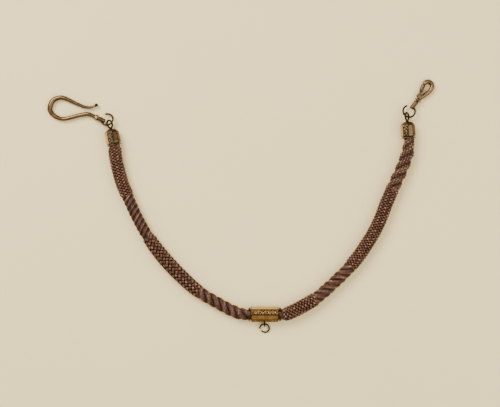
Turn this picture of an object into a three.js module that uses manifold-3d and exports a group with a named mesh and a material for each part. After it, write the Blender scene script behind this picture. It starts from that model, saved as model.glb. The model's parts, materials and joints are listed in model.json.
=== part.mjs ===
// A braided watch chain laid out in a U on a table: a faceted gold tube at the middle joins two
// braids, and each braid ends in a faceted cap that carries a jump ring and a swivel. The left
// swivel holds an open hook and the right one a sprung clip for the watch.
// Millimetres, +Z up, the table at z = 0, the origin under the middle of the whole object.
import * as THREE from 'three';
import { mergeVertices } from 'three/addons/utils/BufferGeometryUtils.js';
import Module from 'manifold-3d';

const wasm = await Module();
wasm.setup();

// Driving dimensions
const FACETS = 8;
const GAP = 0.3;
const BRAID_RADIUS = 3.8;
const BALL_RADIUS = 3.7;
const SOCKET_RADIUS = 4.2;

const TUBE_CENTRE = new THREE.Vector3(13.3, -60.6, 4.4);
const TUBE_LENGTH = 15.4;
const TUBE_CORNER_RADIUS = 4.37;
const TUBE_WALL = 0.5;
const COLLAR_LENGTH = 1.2;

const CAP_RADIUS = 4.1;
const CAP_LENGTH = 8.6;
const CAP_WALL = 0.5;
const RIM_LENGTH = 0.7;
const CAP_HEIGHT = 4.1;
const CAP_EYE_REACH = 2.8;
const CAP_EYE_RADIUS = 2.2;
const CAP_EYE_WIRE = 0.45;
const CAP_EYE_LEAN = 58;

const RING_RADIUS = 3.4;
const RING_WIRE = 0.5;
const FOB_RING_RADIUS = 2.55;
const FOB_RING_WIRE = 0.45;
const FOB_RING_DROOP = 17;
const FOB_EYE_RADIUS = 1.25;
const FOB_EYE_WIRE = 0.4;
const FOB_EYE_REACH = 2.1;

const BARREL_RADIUS = 1.3;
const BARREL_BORE = 0.85;
const BARREL_END_WALL = 0.6;
const PIN_RADIUS = 0.4;

// Middle lines of the two braids, from the tube outwards, each point x, y and height
const LEFT_ROUTE = [
  [3.5, -60.6, 4.4], [0.5, -60.45, 4.3], [-3.0, -59.4, 4.0], [-8.2, -57.0, 3.9], [-14.1, -53.7, 3.9],
  [-20.0, -50.4, 3.9], [-25.5, -46.6, 3.9], [-30.5, -42.3, 3.9], [-35.4, -37.6, 3.9],
  [-40.0, -32.8, 3.9], [-44.4, -27.8, 3.9], [-48.5, -22.5, 3.9], [-52.2, -17.0, 3.9],
  [-55.6, -11.3, 3.9], [-58.7, -5.3, 3.9], [-61.5, 0.8, 3.9], [-64.2, 7.0, 3.9],
  [-66.7, 13.2, 3.9], [-68.6, 19.7, 3.9], [-70.0, 26.4, 3.9], [-70.9, 33.4, 4.1],
];
const RIGHT_ROUTE = [
  [23.1, -60.6, 4.4], [26.0, -60.3, 4.3], [30.6, -58.2, 4.0], [36.9, -54.9, 3.9], [42.7, -51.2, 3.9],
  [47.8, -46.9, 3.9], [52.7, -42.4, 3.9], [57.5, -37.8, 3.9], [62.0, -32.9, 3.9],
  [66.1, -27.7, 3.9], [69.9, -22.2, 3.9], [73.4, -16.5, 3.9], [76.6, -10.6, 3.9],
  [79.2, -4.4, 3.9], [81.6, 1.9, 3.9], [84.2, 8.0, 3.9], [87.0, 14.1, 3.9],
  [89.8, 20.1, 3.9], [92.1, 26.1, 3.9], [93.6, 31.3, 3.9], [94.2, 37.2, 4.1],
];
// The places in each route where the braid is free to bend
const LEFT_BENDS = [7, 16];
const RIGHT_BENDS = [5, 13];

const LEFT_END = {
  mouth: [-70.95, 33.9], capAngle: 102, roll: 8,
  ringAngle: 122, ringDroop: 22, ringFrom: 30, ringTo: 353,
  swivelAngle: 157, swivelDroop: 0.9, swivelPlace: 57, barrelTail: 2.1, barrelNose: 1.9,
};
const RIGHT_END = {
  mouth: [93.8, 37.9], capAngle: 94, roll: -6,
  ringAngle: 67, ringDroop: 15, ringFrom: 37, ringTo: 355,
  swivelAngle: 52, swivelDroop: 3, swivelPlace: -16, barrelTail: 1.1, barrelNose: 3.9,
};

const gold = new THREE.MeshStandardMaterial({ color: 0xa8742f, roughness: 0.3, metalness: 1 });
const darkGold = new THREE.MeshStandardMaterial({ color: 0x8a6237, roughness: 0.35, metalness: 1 });
const hair = new THREE.MeshStandardMaterial({ color: 0x4a2d22, roughness: 0.55, metalness: 0 });
const thread = new THREE.MeshStandardMaterial({ color: 0x3a241b, roughness: 0.8, metalness: 0 });
const steel = new THREE.MeshStandardMaterial({ color: 0x77736c, roughness: 0.3, metalness: 1 });

// Solids: each is a manifold-3d solid in the frame of the group that it is shown in
function solid(geometry, matrix = new THREE.Matrix4()) {
  const bare = new THREE.BufferGeometry();
  bare.setAttribute('position', geometry.getAttribute('position').clone());
  if (geometry.index) bare.setIndex(geometry.index.clone());
  bare.applyMatrix4(matrix);
  const merged = mergeVertices(bare, 1e-4);
  const vertProperties = new Float32Array(merged.attributes.position.array);
  const triVerts = new Uint32Array(merged.index.array);
  return new wasm.Manifold(new wasm.Mesh({ numProp: 3, vertProperties, triVerts }));
}

function meshOf(name, body, material) {
  const made = body.getMesh();
  const geometry = new THREE.BufferGeometry();
  geometry.setAttribute('position', new THREE.BufferAttribute(made.vertProperties, 3));
  geometry.setIndex(new THREE.BufferAttribute(made.triVerts, 1));
  geometry.computeVertexNormals();
  const mesh = new THREE.Mesh(geometry, material.clone());
  mesh.name = name;
  return mesh;
}

function moved(x, y, z) {
  return new THREE.Matrix4().makeTranslation(x, y, z);
}

function turned(axis, degrees) {
  return new THREE.Matrix4().makeRotationAxis(axis, THREE.MathUtils.degToRad(degrees));
}

const X_AXIS = new THREE.Vector3(1, 0, 0);
const Y_AXIS = new THREE.Vector3(0, 1, 0);
const Z_AXIS = new THREE.Vector3(0, 0, 1);

function ball(radius, centre) {
  return solid(new THREE.SphereGeometry(radius, 16, 10), moved(...centre));
}

// A closed profile of [radius, height] turned about +Y, with as many sides as asked for
function turning(profile, sides, matrix = new THREE.Matrix4()) {
  const points = profile.map(([r, h]) => new THREE.Vector2(r, h));
  return solid(new THREE.LatheGeometry(points, sides), matrix);
}

// The same profile turned about +X
function turningX(profile, sides) {
  return turning(profile, sides, turned(Z_AXIS, -90));
}

function hoop(outer, inner, low, high) {
  return [[inner, low], [outer, low], [outer, high], [inner, high], [inner, low]];
}

function rod(radius, low, high) {
  return [[0, low], [radius, low], [radius, high], [0, high]];
}

function torus(radius, wire, matrix) {
  return solid(new THREE.TorusGeometry(radius, wire, 10, 28), matrix);
}

class StretchOfCurve extends THREE.Curve {
  constructor(whole, from, to) {
    super();
    this.whole = whole;
    this.from = from;
    this.to = to;
  }

  getPoint(t, target = new THREE.Vector3()) {
    return this.whole.getPoint(THREE.MathUtils.lerp(this.from, this.to, t), target);
  }
}

class RingArc extends THREE.Curve {
  constructor(radius, from, to) {
    super();
    this.radius = radius;
    this.from = THREE.MathUtils.degToRad(from);
    this.to = THREE.MathUtils.degToRad(to);
  }

  getPoint(t, target = new THREE.Vector3()) {
    const angle = THREE.MathUtils.lerp(this.from, this.to, t);
    return target.set(this.radius * Math.cos(angle), this.radius * Math.sin(angle), 0);
  }
}

// A round section pushed along a curve, with flat closed ends
function pushed(curve, radius, sides, steps) {
  const section = new THREE.Shape();
  section.absarc(0, 0, radius, 0, 2 * Math.PI);
  const settings = { extrudePath: curve, steps, curveSegments: sides / 2, bevelEnabled: false };
  return solid(new THREE.ExtrudeGeometry(section, settings));
}

// A cylinder bent along a curve, as thick at each place as radiusAt says
function bentRod(curve, radiusAt, sides, steps) {
  const geometry = new THREE.CylinderGeometry(1, 1, 1, sides, steps);
  const frames = curve.computeFrenetFrames(steps);
  const places = geometry.getAttribute('position');
  for (let i = 0; i < places.count; i++) {
    const t = 0.5 + places.getY(i);
    const step = Math.round(t * steps);
    const place = curve.getPointAt(t);
    place.addScaledVector(frames.normals[step], places.getX(i) * radiusAt(t));
    place.addScaledVector(frames.binormals[step], -places.getZ(i) * radiusAt(t));
    places.setXYZ(i, place.x, place.y, place.z);
  }
  return solid(geometry);
}

// Linear steps between [t, value] pairs
function ramp(pairs) {
  return (t) => {
    const after = pairs.findIndex(([at]) => at >= t);
    if (after <= 0) return pairs[after === 0 ? 0 : pairs.length - 1][1];
    const [[t0, v0], [t1, v1]] = [pairs[after - 1], pairs[after]];
    return THREE.MathUtils.lerp(v0, v1, (t - t0) / (t1 - t0));
  };
}

const chain = new THREE.Group();

// Braids: plain round solids that meet in a ball and a socket where the braid bends
function braid(side, route, bends) {
  const points = route.map((p) => new THREE.Vector3(...p));
  const curve = new THREE.CatmullRomCurve3(points);
  const last = points.length - 1;
  const stops = [0, ...bends, last];
  const parts = ['inner', 'middle', 'outer'];
  parts.forEach((part, i) => {
    const stretch = new StretchOfCurve(curve, stops[i] / last, stops[i + 1] / last);
    let body = pushed(stretch, BRAID_RADIUS, 12, stops[i + 1] - stops[i]);
    if (i > 0) body = body.subtract(ball(SOCKET_RADIUS, route[stops[i]]));
    if (i < bends.length) body = body.add(ball(BALL_RADIUS, route[stops[i + 1]]));
    chain.add(meshOf(`braid_${side}_${part}`, body, hair));
  });
}

// Centre tube with its end collars, the bound braid ends inside it, and the fob ring's eye
function octagon(radius) {
  const outline = [];
  for (let i = 0; i < FACETS; i++) {
    const angle = (i / FACETS) * 2 * Math.PI;
    outline.push(new THREE.Vector2(radius * Math.cos(angle), radius * Math.sin(angle)));
  }
  return outline;
}

function centre() {
  const group = new THREE.Group();
  group.position.copy(TUBE_CENTRE);
  const half = TUBE_LENGTH / 2;

  // The eye stands on the front facet below the middle, 22.5 degrees under the horizon
  const slope = 180 / FACETS;
  const facet = TUBE_CORNER_RADIUS * Math.cos(Math.PI / FACETS);
  const eyeFrame = turned(X_AXIS, slope).multiply(turned(Z_AXIS, 180));

  const section = new THREE.Shape(octagon(TUBE_CORNER_RADIUS));
  section.holes.push(new THREE.Path(octagon(TUBE_CORNER_RADIUS - TUBE_WALL)));
  const long = { depth: TUBE_LENGTH, bevelEnabled: false };
  const along = turned(Y_AXIS, 90).multiply(moved(0, 0, -half));
  const shankHole = turning(rod(0.9, facet - 1.5, facet + 1), 12, eyeFrame);
  const shell = solid(new THREE.ExtrudeGeometry(section, long), along).subtract(shankHole);
  group.add(meshOf('centre_tube', shell, gold));

  const collarFace = half + GAP;
  const bell = [
    [3.2, 0], [3.95, 0], [3.95, 0.35], [3.6, 0.7], [3.75, COLLAR_LENGTH], [3.2, COLLAR_LENGTH], [3.2, 0],
  ];
  const thick = hoop(2.9, 0.6, -3.2, COLLAR_LENGTH);
  for (const [side, sign] of [['left', -1], ['right', 1]]) {
    const place = moved(sign * collarFace, 0, 0).multiply(turned(Z_AXIS, -90 * sign));
    group.add(meshOf(`centre_collar_${side}`, turning(bell, 24, place), gold));
    group.add(meshOf(`centre_binding_${side}`, turning(thick, 12, place), thread));
  }

  const eyeCentre = facet + FOB_EYE_REACH;
  const eyeRing = torus(FOB_EYE_RADIUS, FOB_EYE_WIRE, moved(0, eyeCentre, 0).multiply(turned(Y_AXIS, 90)));
  const shank = turning(rod(0.55, facet - 1, eyeCentre - FOB_EYE_RADIUS), 12);
  const head = turning(rod(1.2, facet - 1.2, facet - 0.8), 12);
  const eye = eyeRing.add(shank).add(head).transform(eyeFrame.elements);
  group.add(meshOf('centre_eye', eye, darkGold));

  // The fob ring lies through the eye and leans down to the table
  const ringFrame = new THREE.Group();
  ringFrame.position.set(0, 0, 0).add(new THREE.Vector3(0, eyeCentre, 0).applyMatrix4(eyeFrame));
  ringFrame.rotation.x = THREE.MathUtils.degToRad(FOB_RING_DROOP);
  const open = pushed(new RingArc(FOB_RING_RADIUS, 215, 550), FOB_RING_WIRE, 10, 30);
  const fobRing = meshOf('fob_ring', open, darkGold);
  fobRing.position.set(0, -FOB_RING_RADIUS, 0);
  ringFrame.add(fobRing);
  group.add(ringFrame);
  return group;
}

// Cap at the end of a braid: a faceted dome, its rim, the bound braid end and the eye on top
function cap(side, end) {
  const group = new THREE.Group();
  group.position.set(end.mouth[0], end.mouth[1], CAP_HEIGHT);
  group.rotation.z = THREE.MathUtils.degToRad(end.capAngle - 90);
  const inside = CAP_RADIUS - CAP_WALL;
  const low = RIM_LENGTH + GAP;
  const high = low + CAP_LENGTH - 0.2;
  const shankHole = 0.8;
  const dome = [
    [inside - 0.1, low], [CAP_RADIUS - 0.15, low], [CAP_RADIUS, low + 1.2], [CAP_RADIUS, high - 2.4],
    [CAP_RADIUS - 0.5, high - 1.1], [CAP_RADIUS - 1.7, high - 0.25], [shankHole, high],
    [shankHole, high - 0.7], [inside - 1.5, high - 1], [inside, high - 2.5],
    [inside - 0.1, low],
  ];
  const facing = turned(Y_AXIS, end.roll);
  group.add(meshOf(`${side}_cap`, turning(dome, FACETS, facing), gold));
  const lip = hoop(CAP_RADIUS, 3.2, 0, RIM_LENGTH);
  group.add(meshOf(`${side}_cap_rim`, turning(lip, FACETS, facing), gold));
  group.add(meshOf(`${side}_binding`, turning(rod(2.9, 0, 6), 12), thread));

  const eyeCentre = high + CAP_EYE_REACH;
  const lean = moved(0, eyeCentre, 0).multiply(turned(Y_AXIS, CAP_EYE_LEAN));
  const shank = turning(rod(0.5, high - 1.3, eyeCentre - CAP_EYE_RADIUS), 12);
  const head = turning(rod(1.1, high - 1.5, high - 1.05), 12);
  const eye = torus(CAP_EYE_RADIUS, CAP_EYE_WIRE, lean).add(shank).add(head);
  group.add(meshOf(`${side}_cap_eye`, eye, darkGold));
  chain.add(group);

  group.updateMatrixWorld(true);
  return new THREE.Vector3(0, eyeCentre, 0).applyMatrix4(group.matrixWorld);
}

// Jump ring through the cap's eye, and the swivel barrel on it. Returns the barrel's frame:
// origin on the ring's wire, +X along the spin axis.
function swivel(side, end, eyeCentre) {
  const ringFrame = moved(...eyeCentre)
    .multiply(turned(Z_AXIS, end.ringAngle))
    .multiply(turned(Y_AXIS, end.ringDroop))
    .multiply(moved(RING_RADIUS, 0, 0));
  const arc = new RingArc(RING_RADIUS, end.ringFrom, end.ringTo);
  const openEnd = arc.getPoint(side === 'left' ? 1 : 0);
  const ring = pushed(arc, RING_WIRE, 10, 32).add(ball(RING_WIRE + 0.12, openEnd));
  const ringMesh = meshOf(`${side}_ring`, ring, darkGold);
  ringMesh.applyMatrix4(ringFrame);
  chain.add(ringMesh);

  const place = THREE.MathUtils.degToRad(end.swivelPlace);
  const crossing = new THREE.Vector3(RING_RADIUS * Math.cos(place), RING_RADIUS * Math.sin(place), 0);
  const frame = moved(...crossing.applyMatrix4(ringFrame))
    .multiply(turned(Z_AXIS, end.swivelAngle))
    .multiply(turned(Y_AXIS, end.swivelDroop));
  const nose = end.barrelNose;
  const tail = -end.barrelTail;
  const wall = nose - BARREL_END_WALL;
  const profile = [
    [BARREL_BORE, tail], [BARREL_RADIUS, tail], [BARREL_RADIUS, nose - 0.9],
    [BARREL_RADIUS - 0.25, nose], [PIN_RADIUS + 0.15, nose], [PIN_RADIUS + 0.15, wall],
    [BARREL_BORE, wall], [BARREL_BORE, tail],
  ];
  const toBarrel = frame.clone().invert().multiply(ringFrame);
  const wireHole = torus(RING_RADIUS, RING_WIRE + 0.18, toBarrel);
  const barrel = meshOf(`${side}_barrel`, turningX(profile, 16).subtract(wireHole), darkGold);
  barrel.applyMatrix4(frame);
  chain.add(barrel);

  const washer = turningX(hoop(BARREL_BORE - 0.12, PIN_RADIUS + 0.08, wall - 0.55, wall - 0.15), 14);
  const washerMesh = meshOf(`${side}_swivel_washer`, washer, steel);
  washerMesh.applyMatrix4(frame);
  chain.add(washerMesh);
  return frame;
}

function shankPin(end, to) {
  return turningX(rod(PIN_RADIUS, end.barrelNose - BARREL_END_WALL - 0.65, to), 12);
}

// Open hook of tapering wire that ends in a small ball
function hook(end, frame) {
  const outline = [
    [3.0, 0], [5.1, -0.25], [7.3, -0.1], [9.3, 0.6], [12.8, 2.9], [16.8, 6.0], [19.2, 7.6],
    [21.6, 8.4], [24.5, 8.4], [27.6, 7.3], [29.2, 5.2], [29.5, 2.1], [28.6, -0.3], [26.7, -2.1],
    [24.4, -3.0], [21.8, -3.1], [16.8, -2.9], [12.2, -2.9], [10.1, -3.3], [8.5, -3.9], [7.0, -5.0],
    [5.9, -6.2],
  ];
  const curve = new THREE.CatmullRomCurve3(outline.map(([x, y]) => new THREE.Vector3(x, y, 0)));
  const wire = ramp([
    [0, 0.95], [0.08, 1.2], [0.34, 1.15], [0.42, 1.3], [0.52, 1.5], [0.62, 1.35], [0.75, 1.15],
    [0.88, 0.9], [1, 0.65],
  ]);
  const [tipX, tipY] = outline[outline.length - 1];
  const body = bentRod(curve, wire, 12, 48)
    .add(ball(1.0, [tipX - 0.2, tipY - 0.3, 0]))
    .add(shankPin(end, 3.3));
  const group = new THREE.Group();
  group.applyMatrix4(frame);
  group.add(meshOf('left_hook', body, darkGold));
  const bead = [[1.25, 2.2], [1.6, 2.2], [1.85, 2.6], [1.85, 3.1], [1.55, 3.5], [1.25, 3.7], [1.25, 2.2]];
  group.add(meshOf('left_hook_collar', turningX(bead, 18), gold));
  chain.add(group);
}

// Teardrop clip: a bent body with an open side, and a sprung gate that closes it
function clip(end, frame) {
  const base = [6.4, 0.1, 0];
  const pivot = [7.3, 1.0];
  const outline = [
    [5.6, -0.1], [7.0, -0.45], [8.7, -1.1], [10.8, -1.7], [13.1, -2.1], [15.2, -1.9], [16.6, -1.1],
    [17.15, 0.3], [16.7, 1.9], [15.5, 2.8], [14.1, 2.95],
  ];
  const points = outline.map(([x, y]) => new THREE.Vector3(x, y, 0));
  const wire = ramp([[0, 1.2], [0.3, 1.2], [0.55, 1.3], [0.8, 1.3], [1, 1.1]]);
  const upright = turned(X_AXIS, 90);
  const atPivot = moved(...pivot, 0).multiply(upright);
  const hubRadius = 0.95;
  const slotHalf = 0.75;
  const bossHalf = 1.35;
  const slot = turning(rod(hubRadius + 0.75, -slotHalf, slotHalf), 20, atPivot);
  const pinHole = turning(rod(0.5, -2, 2), 12, atPivot);
  const boss = turning(rod(1.35, -bossHalf, bossHalf), 20, atPivot);
  const body = bentRod(new THREE.CatmullRomCurve3(points), wire, 12, 36)
    .add(boss)
    .add(ball(1.55, base))
    .add(shankPin(end, base[0]))
    .subtract(slot)
    .subtract(pinHole);
  const group = new THREE.Group();
  group.applyMatrix4(frame);
  group.add(meshOf('right_clip', body, darkGold));

  const tip = [13.55, 2.85];
  const armAngle = THREE.MathUtils.radToDeg(Math.atan2(tip[1] - pivot[1], tip[0] - pivot[0]));
  const armLength = Math.hypot(tip[0] - pivot[0], tip[1] - pivot[1]);
  const armFrame = moved(...pivot, 0).multiply(turned(Z_AXIS, armAngle)).multiply(turned(Z_AXIS, -90));
  const armProfile = [
    [0, 1.95], [0.6, 1.95], [0.85, 2.5], [1.05, 3.8], [1.05, armLength - 0.2], [0.85, armLength],
    [0, armLength],
  ];
  const neck = solid(new THREE.BoxGeometry(1.1, 2.6, 0.8), moved(0, 1.1, 0));
  const hub = turning(rod(hubRadius, -0.4, 0.4), 18, upright);
  const gate = turning(armProfile, 12).add(neck).add(hub)
    .subtract(turning(rod(0.5, -2, 2), 12, upright));
  const gateMesh = meshOf('right_gate', gate, gold);
  gateMesh.applyMatrix4(armFrame);
  group.add(gateMesh);

  const pinProfile = [
    [0, -1.6], [0.6, -1.6], [0.6, -1.42], [0.38, -1.42], [0.38, 1.42], [0.6, 1.42], [0.6, 1.6], [0, 1.6],
  ];
  group.add(meshOf('right_gate_pin', turning(pinProfile, 12, atPivot), steel));
  const springTurn = new THREE.TorusGeometry(0.68, 0.1, 6, 18);
  const spring = solid(springTurn, moved(...pivot, 0.575));
  group.add(meshOf('right_gate_spring', spring, steel));

  const nose = end.barrelNose;
  const bead = [
    [0.9, nose + 0.3], [1.3, nose + 0.3], [1.5, nose + 0.55], [2.05, nose + 0.7],
    [2.05, nose + 0.95], [1.6, nose + 1.1], [0.9, nose + 1.1], [0.9, nose + 0.3],
  ];
  group.add(meshOf('right_clip_collar', turningX(bead, 18), gold));
  chain.add(group);
}

braid('left', LEFT_ROUTE, LEFT_BENDS);
braid('right', RIGHT_ROUTE, RIGHT_BENDS);
chain.add(centre());
hook(LEFT_END, swivel('left', LEFT_END, cap('left', LEFT_END)));
clip(RIGHT_END, swivel('right', RIGHT_END, cap('right', RIGHT_END)));

export default chain;
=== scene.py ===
"""The looks of a braided hair watch chain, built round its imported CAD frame.

Metres, +Z up, the table at z = 0. A length in metres is written as millimetres times MM, but the
two routes are plain metres. The profiles and points that a Place reads are plain millimetres.
"""
import json
import math

import bpy
import numpy as np
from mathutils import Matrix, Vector

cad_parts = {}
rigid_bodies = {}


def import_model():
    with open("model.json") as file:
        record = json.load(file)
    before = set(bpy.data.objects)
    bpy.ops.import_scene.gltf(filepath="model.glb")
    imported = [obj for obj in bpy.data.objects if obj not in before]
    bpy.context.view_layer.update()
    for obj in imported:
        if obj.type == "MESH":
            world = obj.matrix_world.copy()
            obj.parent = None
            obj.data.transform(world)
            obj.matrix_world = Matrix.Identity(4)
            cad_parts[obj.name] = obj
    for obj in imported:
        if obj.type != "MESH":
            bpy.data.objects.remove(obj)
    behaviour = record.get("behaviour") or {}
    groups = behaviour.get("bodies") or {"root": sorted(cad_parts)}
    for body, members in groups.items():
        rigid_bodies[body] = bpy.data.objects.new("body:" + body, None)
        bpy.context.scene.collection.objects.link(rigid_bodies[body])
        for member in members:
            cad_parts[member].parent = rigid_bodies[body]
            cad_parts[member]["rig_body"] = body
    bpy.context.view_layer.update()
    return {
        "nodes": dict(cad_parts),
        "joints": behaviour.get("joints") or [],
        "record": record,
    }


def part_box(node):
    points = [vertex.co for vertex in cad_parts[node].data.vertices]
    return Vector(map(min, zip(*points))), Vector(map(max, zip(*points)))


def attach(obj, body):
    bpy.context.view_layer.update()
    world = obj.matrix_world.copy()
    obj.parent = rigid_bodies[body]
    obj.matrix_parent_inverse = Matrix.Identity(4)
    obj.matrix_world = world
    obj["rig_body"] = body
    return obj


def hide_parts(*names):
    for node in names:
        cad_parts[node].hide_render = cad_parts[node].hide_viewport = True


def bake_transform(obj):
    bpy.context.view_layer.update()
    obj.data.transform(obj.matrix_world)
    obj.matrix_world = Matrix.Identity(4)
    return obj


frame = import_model()

MM = 0.001
UP = np.array((0.0, 0.0, 1.0))
rng = np.random.default_rng(7)

# Middle lines of the two braids, from the centre tube outwards
LEFT_ROUTE = [
    (0.0035, -0.0606, 0.0044), (0.0005, -0.06045, 0.0043), (-0.0030, -0.0594, 0.0040),
    (-0.0082, -0.0570, 0.0039), (-0.0141, -0.0537, 0.0039), (-0.0200, -0.0504, 0.0039),
    (-0.0255, -0.0466, 0.0039), (-0.0305, -0.0423, 0.0039), (-0.0354, -0.0376, 0.0039),
    (-0.0400, -0.0328, 0.0039), (-0.0444, -0.0278, 0.0039), (-0.0485, -0.0225, 0.0039),
    (-0.0522, -0.0170, 0.0039), (-0.0556, -0.0113, 0.0039), (-0.0587, -0.0053, 0.0039),
    (-0.0615, 0.0008, 0.0039), (-0.0642, 0.0070, 0.0039), (-0.0667, 0.0132, 0.0039),
    (-0.0686, 0.0197, 0.0039), (-0.0700, 0.0264, 0.0039), (-0.0709, 0.0334, 0.0041),
]
RIGHT_ROUTE = [
    (0.0231, -0.0606, 0.0044), (0.0260, -0.0603, 0.0043), (0.0306, -0.0582, 0.0040),
    (0.0369, -0.0549, 0.0039), (0.0427, -0.0512, 0.0039), (0.0478, -0.0469, 0.0039),
    (0.0527, -0.0424, 0.0039), (0.0575, -0.0378, 0.0039), (0.0620, -0.0329, 0.0039),
    (0.0661, -0.0277, 0.0039), (0.0699, -0.0222, 0.0039), (0.0734, -0.0165, 0.0039),
    (0.0766, -0.0106, 0.0039), (0.0792, -0.0044, 0.0039), (0.0816, 0.0019, 0.0039),
    (0.0842, 0.0080, 0.0039), (0.0870, 0.0141, 0.0039), (0.0898, 0.0201, 0.0039),
    (0.0921, 0.0261, 0.0039), (0.0936, 0.0313, 0.0039), (0.0942, 0.0372, 0.0041),
]
LOWEST = 0.02 * MM


def unit(v):
    return v / np.linalg.norm(v, axis=-1, keepdims=True)


class Path:
    """A smooth curve through points, read by arc length and straight past its ends."""

    def __init__(self, points, steps=24):
        p = np.array(points, float)
        ends = np.vstack([2 * p[0] - p[1], p, 2 * p[-1] - p[-2]])
        t = np.linspace(0, 1, steps, endpoint=False)[:, None]
        rows = []
        for a, b, c, d in zip(ends, ends[1:], ends[2:], ends[3:]):
            square = (2 * a - 5 * b + 4 * c - d) * t**2
            cube = (3 * b - a - 3 * c + d) * t**3
            rows.append(0.5 * (2 * b + (c - a) * t + square + cube))
        rows.append(p[-1:])
        self.points = np.vstack(rows)
        gaps = np.linalg.norm(np.diff(self.points, axis=0), axis=1)
        self.arc = np.concatenate([[0.0], np.cumsum(gaps)])
        self.length = self.arc[-1]
        self.heading = unit(np.gradient(self.points, self.arc, axis=0))

    def place(self, s):
        inside = np.clip(s, 0, self.length)
        at = np.stack([np.interp(inside, self.arc, c) for c in self.points.T], 1)
        return at + (s - inside)[:, None] * self.forward(s)

    def forward(self, s):
        return unit(np.stack([np.interp(s, self.arc, c) for c in self.heading.T], 1))

    def spine(self, s, outward=UP):
        return Spine(s, self.place(s), self.forward(s), np.broadcast_to(outward, (len(s), 3)))


class Spine:
    """Places along a line, each with its forward, left and up directions."""

    def __init__(self, s, place, forward, outward):
        self.s = s
        self.place = place
        self.forward = forward
        self.left = unit(np.cross(outward, forward))
        self.up = np.cross(forward, self.left)

    def wound(self, angle, radius):
        """A line wound round this one: angle is from up towards left."""
        out = np.cos(angle)[:, None] * self.up + np.sin(angle)[:, None] * self.left
        place = self.place + radius[:, None] * out
        forward = unit(np.gradient(place, axis=0))
        return Spine(self.s, place, forward, out)

    def beside(self, across, outward):
        """A line beside this one, off it by across and outward."""
        place = self.place + across[:, None] * self.left + outward[:, None] * self.up
        return Spine(self.s, place, unit(np.gradient(place, axis=0)), self.up)


class Place:
    """A point with three directions at right angles, read in millimetres."""

    def __init__(self, origin, x, outward=UP):
        self.origin = np.array(origin, float)
        self.x = unit(np.array(x, float))
        up = np.array(outward, float)
        self.z = unit(up - up.dot(self.x) * self.x)
        self.y = np.cross(self.z, self.x)

    def at(self, points):
        p = np.asarray(points, float) * MM
        return self.origin + p[..., :1] * self.x + p[..., 1:2] * self.y + p[..., 2:3] * self.z

    def moved(self, x, y=0.0, z=0.0):
        return Place(self.at([x, y, z]), self.x, self.z)

    def facing(self, x, outward):
        """The same point, facing along two of this place's own directions."""
        turn = np.array([self.x, self.y, self.z])
        return Place(self.origin, np.array(x, float) @ turn, np.array(outward, float) @ turn)

    def flat_path(self, points):
        """A smooth path through (x, y) points in mm."""
        return Path(self.at([(x, y, 0.0) for x, y in points]))


def filled(profile, spacing):
    """The points of a profile with more between them, no further apart than spacing."""
    rows = []
    for a, b in zip(np.array(profile, float), np.array(profile[1:], float)):
        n = max(1, int(math.ceil(np.linalg.norm(b - a) / spacing)))
        rows.append(a + (b - a) * np.linspace(0, 1, n, endpoint=False)[:, None])
    rows.append(np.array(profile[-1:], float))
    return np.concatenate(rows)


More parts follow.
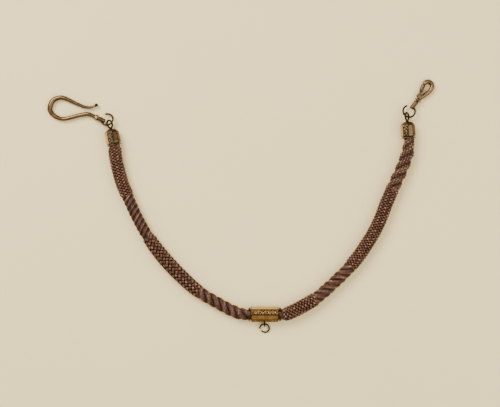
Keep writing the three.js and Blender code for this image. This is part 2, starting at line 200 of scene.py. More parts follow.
class Shape:
    """A mesh under construction: vertices, faces and, for each vertex, its tone and grain."""

    def __init__(self):
        self.verts = []
        self.faces = []
        self.tones = []
        self.grains = []
        self.slots = []
        self.count = 0

    def add(self, verts, faces, tone=0.5, grain=None, slot=0):
        verts = np.asarray(verts).reshape(-1, 3)
        self.verts.append(verts)
        self.faces.extend([[self.count + i for i in f] for f in faces])
        self.slots.extend([slot] * len(faces))
        self.tones.append(np.broadcast_to(np.ravel(tone), (len(verts),)))
        self.grains.append(np.zeros((len(verts), 3)) if grain is None else grain.reshape(-1, 3))
        self.count += len(verts)

    def sweep(self, spine, half_width, half_height, sides=6, tone=0.5, slot=0, closed=False):
        """An oval section carried along a spine, with closed ends."""
        n = len(spine.place)
        wide = np.broadcast_to(half_width, (n,))[:, None, None]
        high = np.broadcast_to(half_height, (n,))[:, None, None]
        a = np.linspace(0, 2 * math.pi, sides, endpoint=False)
        ring = wide * np.cos(a)[None, :, None] * spine.left[:, None, :]
        ring = ring + high * np.sin(a)[None, :, None] * spine.up[:, None, :]
        verts = spine.place[:, None, :] + ring
        grain = np.empty((n, sides, 3))
        grain[..., 0] = np.cos(a)
        grain[..., 1] = np.sin(a)
        grain[..., 2] = (spine.s / MM)[:, None]
        tones = np.repeat(np.broadcast_to(tone, (n,)), sides)
        self.add(verts, tube_faces(n, sides, closed), tones, grain, slot)

    def turned(self, place, profile, tone=0.5, sides=40, closed=False):
        """A round piece on the x axis of place, from (x, radius) pairs in mm."""
        x, radius = filled(profile, 0.12).T
        points = place.at(np.stack([x, 0 * x, 0 * x], 1))
        forward = np.broadcast_to(place.x, points.shape)
        spine = Spine(x * MM, points, forward, np.broadcast_to(place.z, points.shape))
        size = np.maximum(radius, 0.01) * MM
        self.sweep(spine, size, size, sides, tone, closed=closed)

    def wire(self, path, radii, tone=0.5, sides=20, steps=160):
        """A rod along a path, as thick as the (fraction, mm) pairs say, with rounded ends."""
        t = 0.5 - 0.5 * np.cos(np.linspace(0, math.pi, steps))
        at, size = np.array(radii, float).T
        radius = np.interp(t, at, size) * MM
        from_end = np.minimum(t, 1 - t) * path.length
        near = np.clip(1 - from_end / radius, 0, 1)
        radius = radius * np.sqrt(np.maximum(1 - near**2, 1e-4))
        spine = path.spine(t * path.length)
        self.sweep(spine, radius, radius, sides, tone)

    def build(self, name, materials):
        mesh = bpy.data.meshes.new(name)
        verts = np.concatenate(self.verts)
        verts[:, 2] = np.maximum(verts[:, 2], LOWEST)
        mesh.from_pydata(verts.tolist(), [], self.faces)
        tone = mesh.attributes.new("tone", "FLOAT", "POINT")
        tone.data.foreach_set("value", np.concatenate(self.tones).astype(np.float32))
        grain = mesh.attributes.new("grain", "FLOAT_VECTOR", "POINT")
        grain.data.foreach_set("vector", np.concatenate(self.grains).astype(np.float32).ravel())
        for material in materials:
            mesh.materials.append(material)
        mesh.polygons.foreach_set("material_index", self.slots)
        mesh.polygons.foreach_set("use_smooth", [True] * len(mesh.polygons))
        mesh.update()
        made = bpy.data.objects.new(name, mesh)
        bpy.context.scene.collection.objects.link(made)
        return made


def tube_faces(rings, sides, closed=False):
    faces = []
    for i in range(rings if closed else rings - 1):
        low = i * sides
        high = ((i + 1) % rings) * sides
        for j in range(sides):
            k = (j + 1) % sides
            faces.append((low + j, low + k, high + k, high + j))
    if not closed:
        faces.append(tuple(range(sides - 1, -1, -1)))
        last = (rings - 1) * sides
        faces.append(tuple(range(last, last + sides)))
    return faces


def look_through_camera():
    """A long lens straight above the table, 280 mm of it across the picture."""
    lens = 90.0
    across = 280 * MM
    lens_height = across * lens / 36.0 + 4 * MM
    data = bpy.data.cameras.new("camera")
    data.lens = lens
    data.sensor_width = 36.0
    data.clip_start = 0.01
    data.clip_end = 10
    camera = bpy.data.objects.new("camera", data)
    camera.location = (5.04 * MM, 1.4 * MM, lens_height)
    bpy.context.scene.collection.objects.link(camera)
    bpy.context.scene.camera = camera


# Materials


class Nodes:
    """A short way to wire a material."""

    def __init__(self, name):
        self.material = bpy.data.materials.new(name)
        self.material.use_nodes = True
        self.tree = self.material.node_tree
        self.shader = self.tree.nodes["Principled BSDF"]

    def add(self, kind, inputs=(), **settings):
        node = self.tree.nodes.new("ShaderNode" + kind)
        for key, value in settings.items():
            setattr(node, key, value)
        for key, value in dict(inputs).items():
            self.set(node.inputs[key], value)
        return node

    def set(self, socket, value):
        if isinstance(value, bpy.types.NodeSocket):
            self.tree.links.new(value, socket)
        else:
            socket.default_value = value

    def ramp(self, value, stops):
        node = self.add("ValToRGB", {"Fac": value})
        elements = node.color_ramp.elements
        while len(elements) < len(stops):
            elements.new(0.5)
        for element, (at, colour) in zip(elements, stops):
            element.position = at
            element.color = (*colour, 1)
        return node.outputs["Color"]

    def noise(self, scale, detail=2.0, vector=None, roughness=0.5):
        inputs = {"Scale": scale, "Detail": detail, "Roughness": roughness}
        if vector is not None:
            inputs["Vector"] = vector
        return self.add("TexNoise", inputs).outputs["Fac"]

    def maths(self, operation, a, b):
        return self.add("Math", {0: a, 1: b}, operation=operation).outputs[0]

    def bump(self, height, strength, distance):
        inputs = {"Height": height, "Strength": strength, "Distance": distance}
        return self.add("Bump", inputs).outputs["Normal"]

    def finish(self, **inputs):
        for key, value in inputs.items():
            self.set(self.shader.inputs[key.replace("_", " ")], value)
        return self.material


def hair_material():
    """Fine fibres along each strand, with painted shade down in the grooves between the strands."""
    n = Nodes("hair")
    tone = n.add("Attribute", attribute_name="tone").outputs["Fac"]
    grain = n.add("Attribute", attribute_name="grain").outputs["Vector"]
    drawn_out = n.add("VectorMath", {0: grain, 1: (1.0, 1.0, 0.22)}, operation="MULTIPLY")
    fibres = n.noise(7.0, 3.0, drawn_out.outputs[0], 0.6)
    place = n.add("TexCoord").outputs["Object"]
    patches = n.noise(160.0, 2.0, place)
    flecks = n.noise(850.0, 1.0, place)
    # Painted shade: grain's Y is how far a yarn's surface faces out from the braid's middle; its sides and
    # the faces turned in, down in the grooves, are darkened to 0.08 of their level.
    painted_outward_light = n.add("SeparateXYZ", {0: grain}).outputs["Y"]
    painted_outward_light = n.add("MapRange", {0: painted_outward_light, 1: 0.0, 2: 1.0, 3: 0.0, 4: 1.0}).outputs[0]
    level = n.maths("ADD", n.maths("MULTIPLY", fibres, 0.30), n.maths("MULTIPLY", tone, 0.62))
    level = n.maths("ADD", level, n.maths("MULTIPLY", patches, 0.14))
    level = n.maths("ADD", level, n.maths("MULTIPLY", n.maths("SUBTRACT", flecks, 0.5), 0.70))
    level = n.maths("MULTIPLY", level, n.maths("ADD", n.maths("MULTIPLY", painted_outward_light, 0.92), 0.08))
    colour = n.ramp(level, [
        (0.10, (0.009, 0.002, 0.001)),
        (0.40, (0.046, 0.013, 0.005)),
        (0.68, (0.128, 0.046, 0.019)),
        (0.98, (0.420, 0.235, 0.125)),
    ])
    return n.finish(
        Base_Color=colour,
        Roughness=n.maths("ADD", n.maths("MULTIPLY", fibres, 0.25), 0.34),
        Normal=n.bump(fibres, 0.5, 0.05 * MM),
        Specular_IOR_Level=0.4,
    )


# The braids' thread core, near black so that where it shows between the strands it stands in as painted
# shade.
def core_material():
    n = Nodes("braid_core")
    fleck = n.noise(900.0, 2.0, n.add("TexCoord").outputs["Object"])
    colour = n.ramp(fleck, [(0.3, (0.010, 0.005, 0.003)), (0.8, (0.035, 0.017, 0.010))])
    return n.finish(Base_Color=colour, Roughness=0.9, Normal=n.bump(fleck, 0.4, 0.1 * MM))


def metal_material(name, stops, roughness):
    """Worn metal: colour by tone, from dark hollows to rubbed high places, and painted shade beneath."""
    n = Nodes(name)
    tone = n.add("Attribute", attribute_name="tone").outputs["Fac"]
    place = n.add("TexCoord").outputs["Object"]
    cloud = n.noise(420.0, 3.0, place, 0.6)
    fine = n.noise(2600.0, 2.0, place)
    wear = n.maths("MULTIPLY", n.maths("SUBTRACT", cloud, 0.5), 0.35)
    # Painted shade: grain's Y is how far a surface faced its piece's up at rest; facing sideways takes 0.28
    # off the tone and facing down 0.56, also after the piece turns over.
    facing = n.add("Attribute", attribute_name="grain").outputs["Vector"]
    facing = n.add("SeparateXYZ", {0: facing}).outputs["Y"]
    shade = n.maths("MULTIPLY", n.maths("SUBTRACT", facing, 1.0), 0.28)
    level = n.maths("ADD", n.maths("ADD", tone, wear), shade)
    rough = n.maths("ADD", n.maths("MULTIPLY", cloud, 0.20), roughness - 0.10)
    rough = n.maths("SUBTRACT", rough, n.maths("MULTIPLY", level, 0.12))
    return n.finish(
        Base_Color=n.ramp(level, stops),
        Metallic=1.0,
        Roughness=rough,
        Normal=n.bump(fine, 0.10, 0.05 * MM),
    )


def plain_metal(name, dull, bright, roughness):
    n = Nodes(name)
    cloud = n.noise(420.0, 3.0, n.add("TexCoord").outputs["Object"], 0.6)
    return n.finish(
        Base_Color=n.ramp(cloud, [(0.3, dull), (0.7, bright)]),
        Metallic=1.0,
        Roughness=n.maths("ADD", n.maths("MULTIPLY", cloud, 0.25), roughness - 0.12),
    )


HAIR = hair_material()
CORE = core_material()
GOLD = metal_material("gold", [
    (0.05, (0.012, 0.008, 0.005)),
    (0.35, (0.048, 0.028, 0.013)),
    (0.64, (0.270, 0.115, 0.022)),
    (0.98, (0.540, 0.410, 0.220)),
], 0.34)
DARK_GOLD = metal_material("dark_gold", [
    (0.05, (0.010, 0.007, 0.005)),
    (0.35, (0.045, 0.030, 0.016)),
    (0.62, (0.150, 0.086, 0.041)),
    (0.95, (0.480, 0.350, 0.200)),
], 0.34)
CAP_GOLD = metal_material("cap_gold", [
    (0.05, (0.012, 0.009, 0.006)),
    (0.35, (0.050, 0.034, 0.019)),
    (0.60, (0.150, 0.086, 0.036)),
    (0.95, (0.500, 0.380, 0.220)),
], 0.34)
THREAD = core_material()
STEEL = plain_metal("steel", (0.09, 0.075, 0.055), (0.20, 0.17, 0.13), 0.34)
FINISHES = {"hair": HAIR, "gold": GOLD, "dark_gold": DARK_GOLD, "thread": THREAD, "steel": STEEL}


def finish_cad_nodes():
    for part in frame["record"]["subparts"]:
        node = frame["nodes"][part["node"]]
        node.data.materials.clear()
        node.data.materials.append(FINISHES[part["material_slot"]])


# Braided and twisted hair


def smoothstep(x):
    x = np.clip(x, 0, 1)
    return x * x * (3 - 2 * x)


def diving(s, start, end, reach=1.1 * MM):
    """From 0 at a stretch's two ends to 1 within reach of them."""
    return smoothstep((s - start) / reach) * smoothstep((end - s) / reach)


KNOB_HEIGHT = 0.17 * MM
YARN_SPACING = 1.9
BEAD_PITCH = 1.7 * MM


def braided(shape, spine, radius, carriers, pitch, yarns, yarn_size, lift, dive, knobs, shade=0.0):
    """Strands wound both ways round a spine, over and under by turns.

    A spiral of knobs with a pitch of knobs millimetres runs over them. Shade is painted light: it
    brightens a strand where it is on the side of the spine's up, and paints shade on it elsewhere.
    """
    s = spine.s - spine.s[0]
    turn = 2 * math.pi * s / pitch
    middle = radius - yarn_size - lift
    for way in (1, -1):
        height = np.cos(carriers * turn) * way
        crown = smoothstep(height)
        for k in range(carriers):
            angle = 2 * math.pi * k / carriers + way * turn
            knob = np.cos(2 * math.pi * s / (knobs * MM) + angle)
            strand = spine.wound(angle, (middle + height * lift + knob * KNOB_HEIGHT) * dive)
            # Painted light: a strand is painted brighter where it crosses over the others, more so on its
            # knobs, and darker where it dives under.
            tone = rng.uniform(0.16, 0.36) + (0.62 + 0.22 * knob) * crown
            tone = tone + shade * (np.cos(angle) - 0.4)
            for j in range(yarns):
                offset = (j - (yarns - 1) / 2) * YARN_SPACING * yarn_size
                yarn = strand.beside(np.full(len(s), offset), np.zeros(len(s)))
                size = yarn_size * (0.86 + 0.20 * crown)
                shape.sweep(yarn, size, size, 6, tone + rng.uniform(-0.10, 0.10))


def twisted(shape, spine, radius, strands, pitch, yarns, yarn_size, dive, lay=0.0, beads=0.0):
    """Strands laid side by side in a helix, each made of yarns round its own middle.

    Lay is how many turns a metre the yarns make in a strand. Beads is how lumpy they are.
    """
    s = spine.s - spine.s[0]
    bulk = yarn_size / math.sin(math.pi / yarns)
    for k in range(strands):
        angle = 2 * math.pi * k / strands - 2 * math.pi * s / pitch
        strand = spine.wound(angle, (radius - bulk - yarn_size) * dive)
        tone = rng.uniform(0.06, 0.18)
        # A near-black fill in the core's material inside each strand stands in as painted shade between its
        # yarns.
        shape.sweep(strand, bulk * 0.9, bulk * 0.9, 8, 0.0, slot=1)
        for j in range(yarns):
            a = 2 * math.pi * (j / yarns + lay * s)
            bead = beads * np.cos(2 * math.pi * s / BEAD_PITCH + j * math.pi)
            out = bulk * (1 + 0.10 * bead)
            yarn = strand.beside(out * np.cos(a), out * np.sin(a))
            # Painted light: yarns on a strand's outer side are painted brighter and those turned in to the
            # rope's middle darker, with a painted highlight along the outermost yarn and on each bead.
            outward = smoothstep(0.55 + 0.55 * np.sin(a))
            ridge_highlight = smoothstep((np.sin(a) - 0.75) / 0.25)
            shade = tone + rng.uniform(-0.12, 0.18) + 0.42 * outward + 0.40 * ridge_highlight + 0.22 * bead
            size = yarn_size * (0.94 + 0.10 * bead)
            shape.sweep(yarn, size, size, 6, shade)


def plaited_rope(shape, spine, radius, strands, pitch, strand_radius, dive):
    """A coarse rope whose strands are fine braids themselves."""
    s = spine.s - spine.s[0]
    for k in range(strands):
        angle = 2 * math.pi * k / strands - 2 * math.pi * s / pitch
        strand = spine.wound(angle, (radius - strand_radius) * dive)
        inner = strand_radius - 0.45 * MM
        # A near-black fill in the core's material inside each strand stands in as painted shade between its
        # braids.
        shape.sweep(strand, inner, inner, 10, 0.0, slot=1)
        full = np.full(len(s), strand_radius)
        # Shade 0.40: each fine braid is painted lighter on its outer side and gets painted shade on the side
        # turned in to the rope's middle.
        braided(shape, strand, full, 6, 7.2 * MM, 1, 0.38 * MM, 0.22 * MM, np.ones(len(s)), 1.4, 0.40)


def stretch(path, start, end, spacing=0.1 * MM):
    return path.spine(np.linspace(start, end, int(round((end - start) / spacing)) + 1))


def core(shape, path, start, end, radius):
    spine = stretch(path, start, end, 1.5 * MM)
    shape.sweep(spine, radius, radius, 16, 0.2, slot=1)


def cord_piece(name, shape, path, start, end, nodes, bend_at):
    """Builds one stretch of braid and hides the CAD nodes that it stands for."""
    piece = shape.build(name, [HAIR, CORE])
    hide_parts(*nodes)
    arcs = np.linspace(start, end, 32)
    middle = path.place(arcs)
    bend = path.place(np.array([bend_at - 9 * MM, bend_at + 9 * MM]))
    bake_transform(piece)
    return piece


def left_braid():
    path = Path(LEFT_ROUTE)
    bend_near, bend_far = 39.7 * MM, 100.0 * MM
    start, rope_end, plait_end, twist_end = -1.0 * MM, 30 * MM, 72.7 * MM, 99 * MM
    end = path.length + 1.0 * MM

    shape = Shape()
    core(shape, path, start, rope_end, 1.9 * MM)
    core(shape, path, rope_end, plait_end, 2.7 * MM)
    spine = stretch(path, start, rope_end + 1 * MM, 0.25 * MM)
    radius = 3.0 * MM + 0.65 * MM * smoothstep((spine.s - start) / (3 * MM))
    dive = 0.75 + 0.25 * diving(spine.s, start - 3 * MM, rope_end + 1 * MM)
    twisted(shape, spine, radius, 3, 14.7 * MM, 9, 0.42 * MM, dive, lay=60.0)
    spine = stretch(path, rope_end - 1 * MM, plait_end, 0.2 * MM)
    radius = 3.75 * MM + 0.35 * MM * np.sin(math.pi * (spine.s - rope_end) / (plait_end - rope_end))
    dive = 0.72 + 0.28 * diving(spine.s, rope_end - 1 * MM, plait_end)
    braided(shape, spine, radius, 8, 20.4 * MM, 2, 0.37 * MM, 0.60 * MM, dive, 2.5)
    cord_piece(
        "left_braid_inner", shape, path, start, plait_end,
        ["braid_left_inner", "braid_left_middle"], bend_near,
    )

    shape = Shape()
    core(shape, path, plait_end, end, 2.4 * MM)
    spine = stretch(path, plait_end, twist_end + 1 * MM, 0.2 * MM)
    radius = np.full(len(spine.s), 3.4 * MM)
    dive = 0.75 + 0.25 * diving(spine.s, plait_end, twist_end + 1 * MM)
    twisted(shape, spine, radius, 4, 12.2 * MM, 7, 0.35 * MM, dive)
    spine = stretch(path, twist_end - 1 * MM, end, 0.16 * MM)
    narrow = smoothstep((spine.s - (end - 3 * MM)) / (2.2 * MM))
    radius = 3.85 * MM - 0.75 * MM * narrow
    dive = 0.72 + 0.28 * diving(spine.s, twist_end - 1 * MM, end + 2 * MM)
    braided(shape, spine, radius, 8, 13.6 * MM, 1, 0.50 * MM, 0.50 * MM, dive, 1.9)
    cord_piece(
        "left_braid_outer", shape, path, plait_end, end,
        ["braid_left_outer"], bend_far,
    )


def right_braid():
    path = Path(RIGHT_ROUTE)
    bend_near, bend_far = 29.0 * MM, 82.0 * MM
    start, plait_end, twist_end, fine_end = -1.0 * MM, 20.5 * MM, 47.5 * MM, 97 * MM
    end = path.length + 1.0 * MM

    shape = Shape()
    core(shape, path, start, plait_end, 2.6 * MM)
    core(shape, path, plait_end, twist_end, 2.0 * MM)
    spine = stretch(path, start, plait_end + 1 * MM, 0.18 * MM)
    radius = 3.1 * MM + 0.9 * MM * smoothstep((spine.s - start - 1 * MM) / (2.6 * MM))
    dive = 0.72 + 0.28 * diving(spine.s, start - 3 * MM, plait_end + 1 * MM)
    braided(shape, spine, radius, 8, 15.2 * MM, 1, 0.54 * MM, 0.52 * MM, dive, 2.2)
    spine = stretch(path, plait_end - 1 * MM, twist_end, 0.2 * MM)
    radius = np.full(len(spine.s), 3.65 * MM)
    dive = 0.75 + 0.25 * diving(spine.s, plait_end - 1 * MM, twist_end)
    twisted(shape, spine, radius, 4, 15.8 * MM, 8, 0.38 * MM, dive, lay=110.0, beads=1.0)
    cord_piece(
        "right_braid_inner", shape, path, start, twist_end,
        ["braid_right_inner", "braid_right_middle"], bend_near,
    )

    shape = Shape()
    core(shape, path, twist_end, end, 2.1 * MM)
    spine = stretch(path, twist_end, fine_end + 1 * MM, 0.16 * MM)
    core(shape, path, twist_end, fine_end, 2.7 * MM)
    radius = np.full(len(spine.s), 3.9 * MM)
    dive = 0.72 + 0.28 * diving(spine.s, twist_end, fine_end + 1 * MM)
    braided(shape, spine, radius, 8, 13.8 * MM, 1, 0.50 * MM, 0.50 * MM, dive, 2.0)
    spine = stretch(path, fine_end - 1 * MM, end, 0.15 * MM)
    radius = 3.9 * MM - 0.75 * MM * smoothstep((spine.s - (end - 10 * MM)) / (9 * MM))
    dive = 0.75 + 0.25 * diving(spine.s, fine_end - 1 * MM, end + 2 * MM)
    plaited_rope(shape, spine, radius, 3, 18.6 * MM, 1.7 * MM, dive)
    cord_piece(
        "right_braid_outer", shape, path, twist_end, end,
        ["braid_right_outer"], bend_far,
    )


# Fittings

FACETS = 8

# In mm along a cap: its shell's two ends, and the middle of its eye
CAP_SHELL = (1.0, 9.4)
CAP_REACH = 12.2

# In mm from the clip's swivel: the gate's pin, and the gate's end at the nose
GATE_PIVOT = (7.3, 1.0)
GATE_TIP = (13.85, 2.90)
FACET_ANGLE = 2 * math.pi / FACETS
JOINTS = {joint["name"]: joint for joint in frame["joints"]}


def joint_at(name):
    return np.array(JOINTS[name]["pos_m"], float)


def joint_axis(name):
    return unit(np.array(JOINTS[name]["axis"], float))


def stand_for(piece, node):
    """The piece moves with a CAD node's body and is shown in its place."""
    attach(piece, frame["nodes"][node]["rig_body"])
    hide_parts(node)


def fitting(name, shape, material, node):
    stand_for(shape.build(name, [material]), node)


def scrollwork(x, u, cell):
    """A running scroll in mm: 1 on its raised line and 0 on the ground."""
    number = np.floor(x / cell)
    hand = np.where(number % 2 == 0, 1.0, -1.0)
    dx = x - (number + 0.5) * cell
    r = np.hypot(dx, 0.75 * u)
    turn = hand * np.arctan2(u, dx) / (2 * math.pi)
    off_line = np.abs((r / (0.34 * cell) - turn) % 1 - 0.5)
    spiral = smoothstep((0.24 - off_line) / 0.12) * (r < 0.50 * cell)
    stem = smoothstep((0.20 - np.abs(u - 1.15 * np.sin(math.pi * x / cell))) / 0.12)
    return np.maximum(spiral, stem)


def panels(facet, x, u, width, low, high, cell, polished):
    """Height and tone of facets: a scroll on every second, the rest polished, facet 1 painted pale."""
    engraved = facet % 2 == 0
    inside = smoothstep((np.minimum(x - low, high - x) - 0.5) / 0.12)
    inside = inside * smoothstep((width / 2 - np.abs(u) - 0.22) / 0.10)
    line = scrollwork(x - low, u, cell)
    height = np.where(engraved, inside * (0.13 * line - 0.15), 0.0)
    border = smoothstep((0.50 - width / 2 + np.abs(u)) / 0.15)
    # Painted highlight: facet 1, on the side towards the key light, is painted pale.
    polish_and_highlight = np.where(facet == 1, 0.86, polished - 0.34 * border)
    polish_and_highlight = polish_and_highlight - 0.22 * smoothstep((0.65 - np.minimum(x - low, high - x)) / 0.2)
    ground = 0.40 + inside * (0.06 + 0.70 * line - 0.40)
    return height, np.where(engraved, ground, polish_and_highlight)


def plain(facet, x, u, width):
    """Height and tone of a facet with nothing on it."""
    level = 0 * (facet + x + u + width)
    return level, level + 0.45


def faceted(shape, place, outline, bore, roll, relief, cells=34, spacing=0.09):
    """An eight-sided shell on the x axis of place: (x, corner radius) outside, then its bore."""
    outer = filled(outline, spacing)
    rings = np.concatenate([outer, np.array(bore, float)])
    x = rings[:, 0][:, None, None]
    corner = rings[:, 1][:, None, None]
    facet = np.arange(FACETS)[None, :, None]
    t = (np.arange(cells) / cells)[None, None, :]
    start = math.radians(roll) + facet * FACET_ANGLE
    middle = start + FACET_ANGLE / 2
    y = corner * ((1 - t) * np.sin(start) + t * np.sin(start + FACET_ANGLE))
    z = corner * ((1 - t) * np.cos(start) + t * np.cos(start + FACET_ANGLE))
    width = 2 * corner * math.sin(FACET_ANGLE / 2)
    u = (t - 0.5) * width
    height, tone = relief(facet, x, u, width)
    height = height - 0.35 * np.maximum(0.12 - (width / 2 - np.abs(u)), 0)
    outside = (np.arange(len(rings)) < len(outer))[:, None, None]
    height = np.where(outside, height, 0.0)
    tone = np.where(outside, tone, 0.1)
    y = y + height * np.sin(middle)
    z = z + height * np.cos(middle)
    points = place.at(np.stack([x + 0 * y, y, z], -1))
    sides = FACETS * cells
    grain = np.broadcast_to((0.0, 1.0, 0.0), (len(rings) * sides, 3))
    shape.add(points, tube_faces(len(rings), sides, closed=True), tone, grain)


def ring_wire(shape, place, radii, thickness, start, end, tone, steps=120):
    """Round wire bent to a ring on the x-y plane of place, from start to end degrees.

    The bend's radii, in mm, are spread evenly along it.
    """
    whole = end - start == 360
    a = np.radians(np.linspace(start, end, steps, endpoint=not whole))
    t = np.linspace(0, 1, steps)
    radius = np.interp(t, np.linspace(0, 1, len(radii)), radii)
    points = place.at(np.stack([radius * np.cos(a), radius * np.sin(a), 0 * a], 1))
    forward = unit(np.stack([-np.sin(a), np.cos(a)], 1) @ np.array([place.x, place.y]))
    spine = Spine(a * radius[0] * MM, points, forward, np.broadcast_to(place.z, points.shape))
    size = np.full(steps, thickness)
    if not whole:
        from_end = np.minimum(np.arange(steps), np.arange(steps)[::-1]) * np.abs(a[1] - a[0]) * radius
        near = np.clip(1 - from_end / thickness, 0, 1)
        size = thickness * np.sqrt(np.maximum(1 - near**2, 0.05))
    shape.sweep(spine, size * MM, size * MM, 16, tone, closed=whole)


def ball_profile(x, radius):
    a = np.linspace(0, math.pi, 14)
    return [(x - radius * math.cos(angle), radius * math.sin(angle)) for angle in a]


def centre_fittings():
    low, high = (np.array(corner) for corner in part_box("centre_tube"))
    tube = Place((low + high) / 2, (1, 0, 0))
    half = (high[0] - low[0]) / 2 / MM
    corner = (high[2] - low[2]) / 2 / MM
    shape = Shape()
    outline = [
        (-half, corner - 0.15), (-half + 0.15, corner), (half - 0.15, corner), (half, corner - 0.15),
    ]
    bore = [(half, corner - 0.5), (-half, corner - 0.5)]
    faceted(shape, tube, outline, bore, 0, lambda *at: panels(*at, -half, half, 1.9, 0.66), cells=36)
    fitting("tube", shape, GOLD, "centre_tube")

    bell = [
        (0, 3.3), (0, 3.75), (0.1, 3.93), (0.35, 3.93), (0.5, 3.62), (0.7, 3.62), (0.8, 3.78), (1.05, 3.78),
        (1.2, 3.6), (1.2, 3.3), (0, 3.3),
    ]
    for side, sign in (("left", -1), ("right", 1)):
        shape = Shape()
        shape.turned(tube.moved(sign * (half + 0.3)).facing((sign, 0, 0), (0, 0, 1)), bell, 0.46, 56, True)
        fitting("tube_collar_" + side, shape, CAP_GOLD, "centre_collar_" + side)

    eye = joint_at("fob_ring_swing")
    away = unit(eye - tube.origin)
    reach = np.linalg.norm(eye - tube.origin) / MM
    shank = Place(tube.origin, away)
    facet = corner * math.cos(FACET_ANGLE / 2)
    shape = Shape()
    shape.turned(shank, [
        (facet - 1.2, 0.05), (facet - 1.2, 1.15), (facet - 0.8, 1.15), (facet - 0.7, 0.5), (facet, 0.5),
        (facet + 0.05, 0.8), (facet + 0.25, 0.8), (facet + 0.4, 0.5), (reach - 1.1, 0.5),
        (reach - 1.1, 0.05),
    ], 0.45, 24)
    ring_wire(shape, Place(eye, away, (1, 0, 0)), (1.25, 1.25), 0.4, 0, 360, 0.40, 60)
    fitting("fob_eye", shape, DARK_GOLD, "centre_eye")

    droop = math.radians(17)
    normal = (0, -math.sin(droop), math.cos(droop))
    ring = Place(eye, (1, 0, 0), normal).moved(0, -2.55)
    shape = Shape()
    ring_wire(shape, ring, (2.2, 2.5, 2.55, 2.55, 2.6, 2.75), 0.46, 215, 550, 0.34)
    fitting("fob_ring_wire", shape, DARK_GOLD, "fob_ring")


def end_fittings(side, cap_angle, roll, ring_arc, tail, nose):
    """Cap, rim, eye, jump ring and swivel barrel at one end. Returns the swivel's own place."""
    turn = math.radians(cap_angle)
    along = np.array((math.cos(turn), math.sin(turn), 0.0))
    eye = joint_at(side + "_ring_swing")
    cap = Place(eye - CAP_REACH * MM * along, along)
    low, high = CAP_SHELL
    shape = Shape()
    dome = [
        (low, 3.8), (low + 0.1, 3.95), (low + 1.2, 4.1), (high - 2.5, 4.1), (high - 2.1, 4.03),
        (high - 1.2, 3.62), (high - 0.6, 3.0), (high - 0.2, 2.2), (high, 1.3), (high, 0.8),
    ]
    bore = [(high - 0.7, 0.8), (high - 1, 2.1), (high - 2.5, 3.6), (low, 3.5)]
    faceted(shape, cap, dome, bore, roll, lambda *at: panels(*at, low, high - 1.5, 1.75, 0.60), cells=34)
    fitting(side + "_cap_shell", shape, CAP_GOLD, side + "_cap")

    shape = Shape()
    lip = [(0, 3.85), (0.12, 4.05), (0.35, 4.12), (0.58, 4.05), (0.7, 3.85)]
    faceted(shape, cap, lip, [(0.7, 3.2), (0, 3.2)], roll, plain, 12)
    fitting(side + "_cap_lip", shape, CAP_GOLD, side + "_cap_rim")

    shape = Shape()
    shape.turned(cap, [
        (high - 1.5, 0.05), (high - 1.5, 1.05), (high - 1.05, 1.05), (high - 1.0, 0.48), (high + 0.05, 0.48),
        (high + 0.12, 0.95), (high + 0.35, 0.95), (high + 0.5, 0.5), (high + 0.9, 0.45), (high + 0.9, 0.05),
    ], 0.45, 24)
    lean = math.radians(58)
    face = cap.moved(CAP_REACH).facing((1, 0, 0), (0, -math.sin(lean), math.cos(lean)))
    ring_wire(shape, face, (2.2, 2.2), 0.55, 0, 360, 0.36, 80)
    fitting(side + "_cap_eye_wire", shape, DARK_GOLD, side + "_cap_eye")

    centre = joint_at(side + "_swivel_slide")
    ring = Place(centre, centre - eye, joint_axis(side + "_swivel_slide"))
    shape = Shape()
    ring_wire(shape, ring, (3.4, 3.4), 0.54, *ring_arc, 0.26)
    fitting(side + "_ring_wire", shape, DARK_GOLD, side + "_ring")

    spin = "left_hook_spin" if side == "left" else "right_clip_spin"
    swivel = Place(joint_at(spin), joint_axis(spin))
    shape = Shape()
    shape.turned(swivel, [
        (-tail, 0.85), (-tail, 1.12), (-tail + 0.15, 1.28), (-tail + 0.4, 1.28), (-tail + 0.5, 1.18),
        (nose - 1.0, 1.22), (nose - 0.9, 1.30), (nose - 0.6, 1.30), (nose - 0.1, 1.1), (nose, 0.95),
        (nose, 0.55), (nose - 0.6, 0.55), (nose - 0.6, 0.85), (-tail, 0.85),
    ], 0.50, 40, True)
    fitting(side + "_barrel_shell", shape, DARK_GOLD, side + "_barrel")
    return swivel


def hook_fittings(swivel):
    outline = [
        (3.0, 0), (5.1, -0.25), (7.3, -0.1), (9.3, 0.6), (12.8, 2.9), (16.8, 6.0), (19.2, 7.6), (21.6, 8.4),
        (24.5, 8.4), (27.6, 7.3), (29.2, 5.2), (29.5, 2.1), (28.6, -0.3), (26.7, -2.1), (24.4, -3.0),
        (21.8, -3.1), (16.8, -2.9), (12.2, -2.9), (10.1, -3.3), (8.5, -3.9), (7.0, -5.0), (5.9, -6.2),
    ]
    thickness = [
        (0, 0.95), (0.08, 1.2), (0.34, 1.15), (0.42, 1.3), (0.52, 1.5), (0.62, 1.35), (0.75, 1.15),
        (0.88, 0.9), (1, 0.65),
    ]
    shape = Shape()
    shape.wire(swivel.flat_path(outline), thickness, 0.62, 28, 260)
    shape.turned(swivel.moved(5.7, -6.5), ball_profile(0, 1.0), 0.30, 28)
    shape.turned(swivel, [(0.65, 0.05), (0.65, 0.4), (3.4, 0.4), (3.4, 0.05)], 0.4, 16)
    fitting("hook_wire", shape, DARK_GOLD, "left_hook")

    shape = Shape()
    bead = [
        (2.2, 1.25), (2.2, 1.5), (2.35, 1.65), (2.5, 1.6), (2.65, 1.84), (3.0, 1.88), (3.2, 1.78),
        (3.3, 1.55), (3.5, 1.6), (3.65, 1.45), (3.7, 1.25), (2.2, 1.25),
    ]
    shape.turned(swivel, bead, 0.85, 44, True)
    fitting("hook_collar", shape, CAP_GOLD, "left_hook_collar")


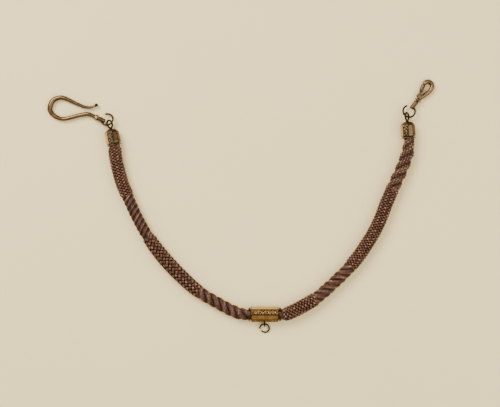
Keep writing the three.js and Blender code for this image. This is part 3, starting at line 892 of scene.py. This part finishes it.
def refined(name, node, tone, material, voxel=0.085):
    """A worn, rounded copy of a CAD node's own surface."""
    copy = bpy.data.objects.new(name, frame["nodes"][node].data.copy())
    bpy.context.scene.collection.objects.link(copy)
    remesh = copy.modifiers.new("remesh", "REMESH")
    remesh.mode = "VOXEL"
    remesh.voxel_size = voxel * MM
    smooth = copy.modifiers.new("smooth", "SMOOTH")
    smooth.iterations = 14
    depsgraph = bpy.context.evaluated_depsgraph_get()
    made = bpy.data.meshes.new_from_object(copy.evaluated_get(depsgraph))
    copy.modifiers.clear()
    copy.data = made
    made.materials.clear()
    made.materials.append(material)
    normals = np.empty(len(made.vertices) * 3, np.float32)
    made.vertices.foreach_get("normal", normals)
    tones = np.full(len(made.vertices), tone)
    made.attributes.new("tone", "FLOAT", "POINT").data.foreach_set("value", tones)
    # Painted shade: grain's Y is the normal's height here, so faces turned down get darker in the metal.
    facing = np.zeros((len(made.vertices), 3), np.float32)
    facing[:, 1] = normals.reshape(-1, 3)[:, 2]
    made.attributes.new("grain", "FLOAT_VECTOR", "POINT").data.foreach_set("vector", facing.ravel())
    made.polygons.foreach_set("use_smooth", [True] * len(made.polygons))
    stand_for(copy, node)


def gate_fitting(swivel):
    """The clip's gate: a hub on the pin, an oval neck and a round arm that reaches the nose."""
    pivot = np.array(GATE_PIVOT)
    reach = np.array(GATE_TIP) - pivot
    length = np.linalg.norm(reach)
    arm = swivel.moved(*pivot).facing((*(reach / length), 0), (0, 0, 1))
    shape = Shape()
    shape.turned(arm, [
        (1.95, 0.05), (1.95, 0.55), (2.1, 0.70), (2.6, 0.90), (3.6, 1.10), (length - 0.25, 1.14),
        (length - 0.05, 1.02), (length, 0.85), (length, 0.05),
    ], 0.50, 32)
    hub = arm.moved(0, 0, -0.4).facing((0, 0, 1), (1, 0, 0))
    shape.turned(hub, [(0, 0.05), (0, 0.95), (0.8, 0.95), (0.8, 0.05)], 0.4, 32)
    neck = Path(arm.moved(0.5).at([(0, 0, 0), (0.7, 0, 0), (1.7, 0, 0)]))
    spine = neck.spine(np.linspace(0, 1.7, 12) * MM)
    shape.sweep(spine, 0.55 * MM, 0.4 * MM, 12, 0.4)
    fitting("clip_gate", shape, DARK_GOLD, "right_gate")


def clip_fittings(swivel):
    refined("clip_body", "right_clip", 0.64, DARK_GOLD)
    gate_fitting(swivel)
    shape = Shape()
    bead = [
        (4.2, 0.95), (4.2, 1.2), (4.35, 1.35), (4.5, 1.4), (4.6, 1.9), (4.7, 2.05), (4.88, 2.05),
        (4.96, 1.85), (5.0, 1.4), (5.0, 0.95), (4.2, 0.95),
    ]
    shape.turned(swivel, bead, 0.80, 44, True)
    fitting("clip_collar", shape, CAP_GOLD, "right_clip_collar")


def floor_and_light():
    n = Nodes("paper")
    mottle = n.noise(9.0, 3.0, n.add("TexCoord").outputs["Object"])
    colour = n.ramp(mottle, [(0.3, (0.96, 0.76, 0.385)), (0.7, (0.98, 0.78, 0.405))])
    paper = n.finish(Base_Color=colour, Roughness=0.95, Specular_IOR_Level=0.1)
    shape = Shape()
    half = 3.0
    corners = [(-half, -half, 0), (half, -half, 0), (half, half, 0), (-half, half, 0)]
    shape.add(np.array(corners), [(0, 1, 2, 3)])
    floor = shape.build("floor", [paper])

    world = bpy.data.worlds.new("studio")
    world.use_nodes = True
    tree = world.node_tree
    sky = tree.nodes.new("ShaderNodeTexGradient")
    turn = tree.nodes.new("ShaderNodeMapping")
    turn.inputs["Rotation"].default_value = (0, math.pi / 2, 0)
    ramp = tree.nodes.new("ShaderNodeValToRGB")
    ramp.color_ramp.elements[0].position = 0.05
    ramp.color_ramp.elements[0].color = (0.16, 0.14, 0.12, 1)
    ramp.color_ramp.elements[1].position = 0.75
    ramp.color_ramp.elements[1].color = (1.0, 0.96, 0.90, 1)
    background = tree.nodes["Background"]
    tree.links.new(tree.nodes.new("ShaderNodeTexCoord").outputs["Generated"], turn.inputs[0])
    tree.links.new(turn.outputs[0], sky.inputs[0])
    tree.links.new(sky.outputs["Fac"], ramp.inputs["Fac"])
    tree.links.new(ramp.outputs["Color"], background.inputs["Color"])
    background.inputs["Strength"].default_value = 1.15
    bpy.context.scene.world = world

    for name, place, size, power in (
        ("key", (-0.45, 0.5, 0.75), 0.5, 11.1),
        ("fill", (0.6, -0.2, 0.8), 0.7, 4.5),
    ):
        data = bpy.data.lights.new(name, "AREA")
        data.size = size
        data.energy = power
        lamp = bpy.data.objects.new(name, data)
        lamp.location = place
        lamp.rotation_euler = (-Vector(place)).to_track_quat("-Z", "Y").to_euler()
        bpy.context.scene.collection.objects.link(lamp)


look_through_camera()
left_braid()
right_braid()
finish_cad_nodes()
centre_fittings()
hook_fittings(end_fittings("left", cap_angle=102, roll=-8, ring_arc=(30, 353), tail=2.1, nose=1.9))
clip_fittings(end_fittings("right", cap_angle=94, roll=6, ring_arc=(37, 355), tail=1.1, nose=3.9))
floor_and_light()
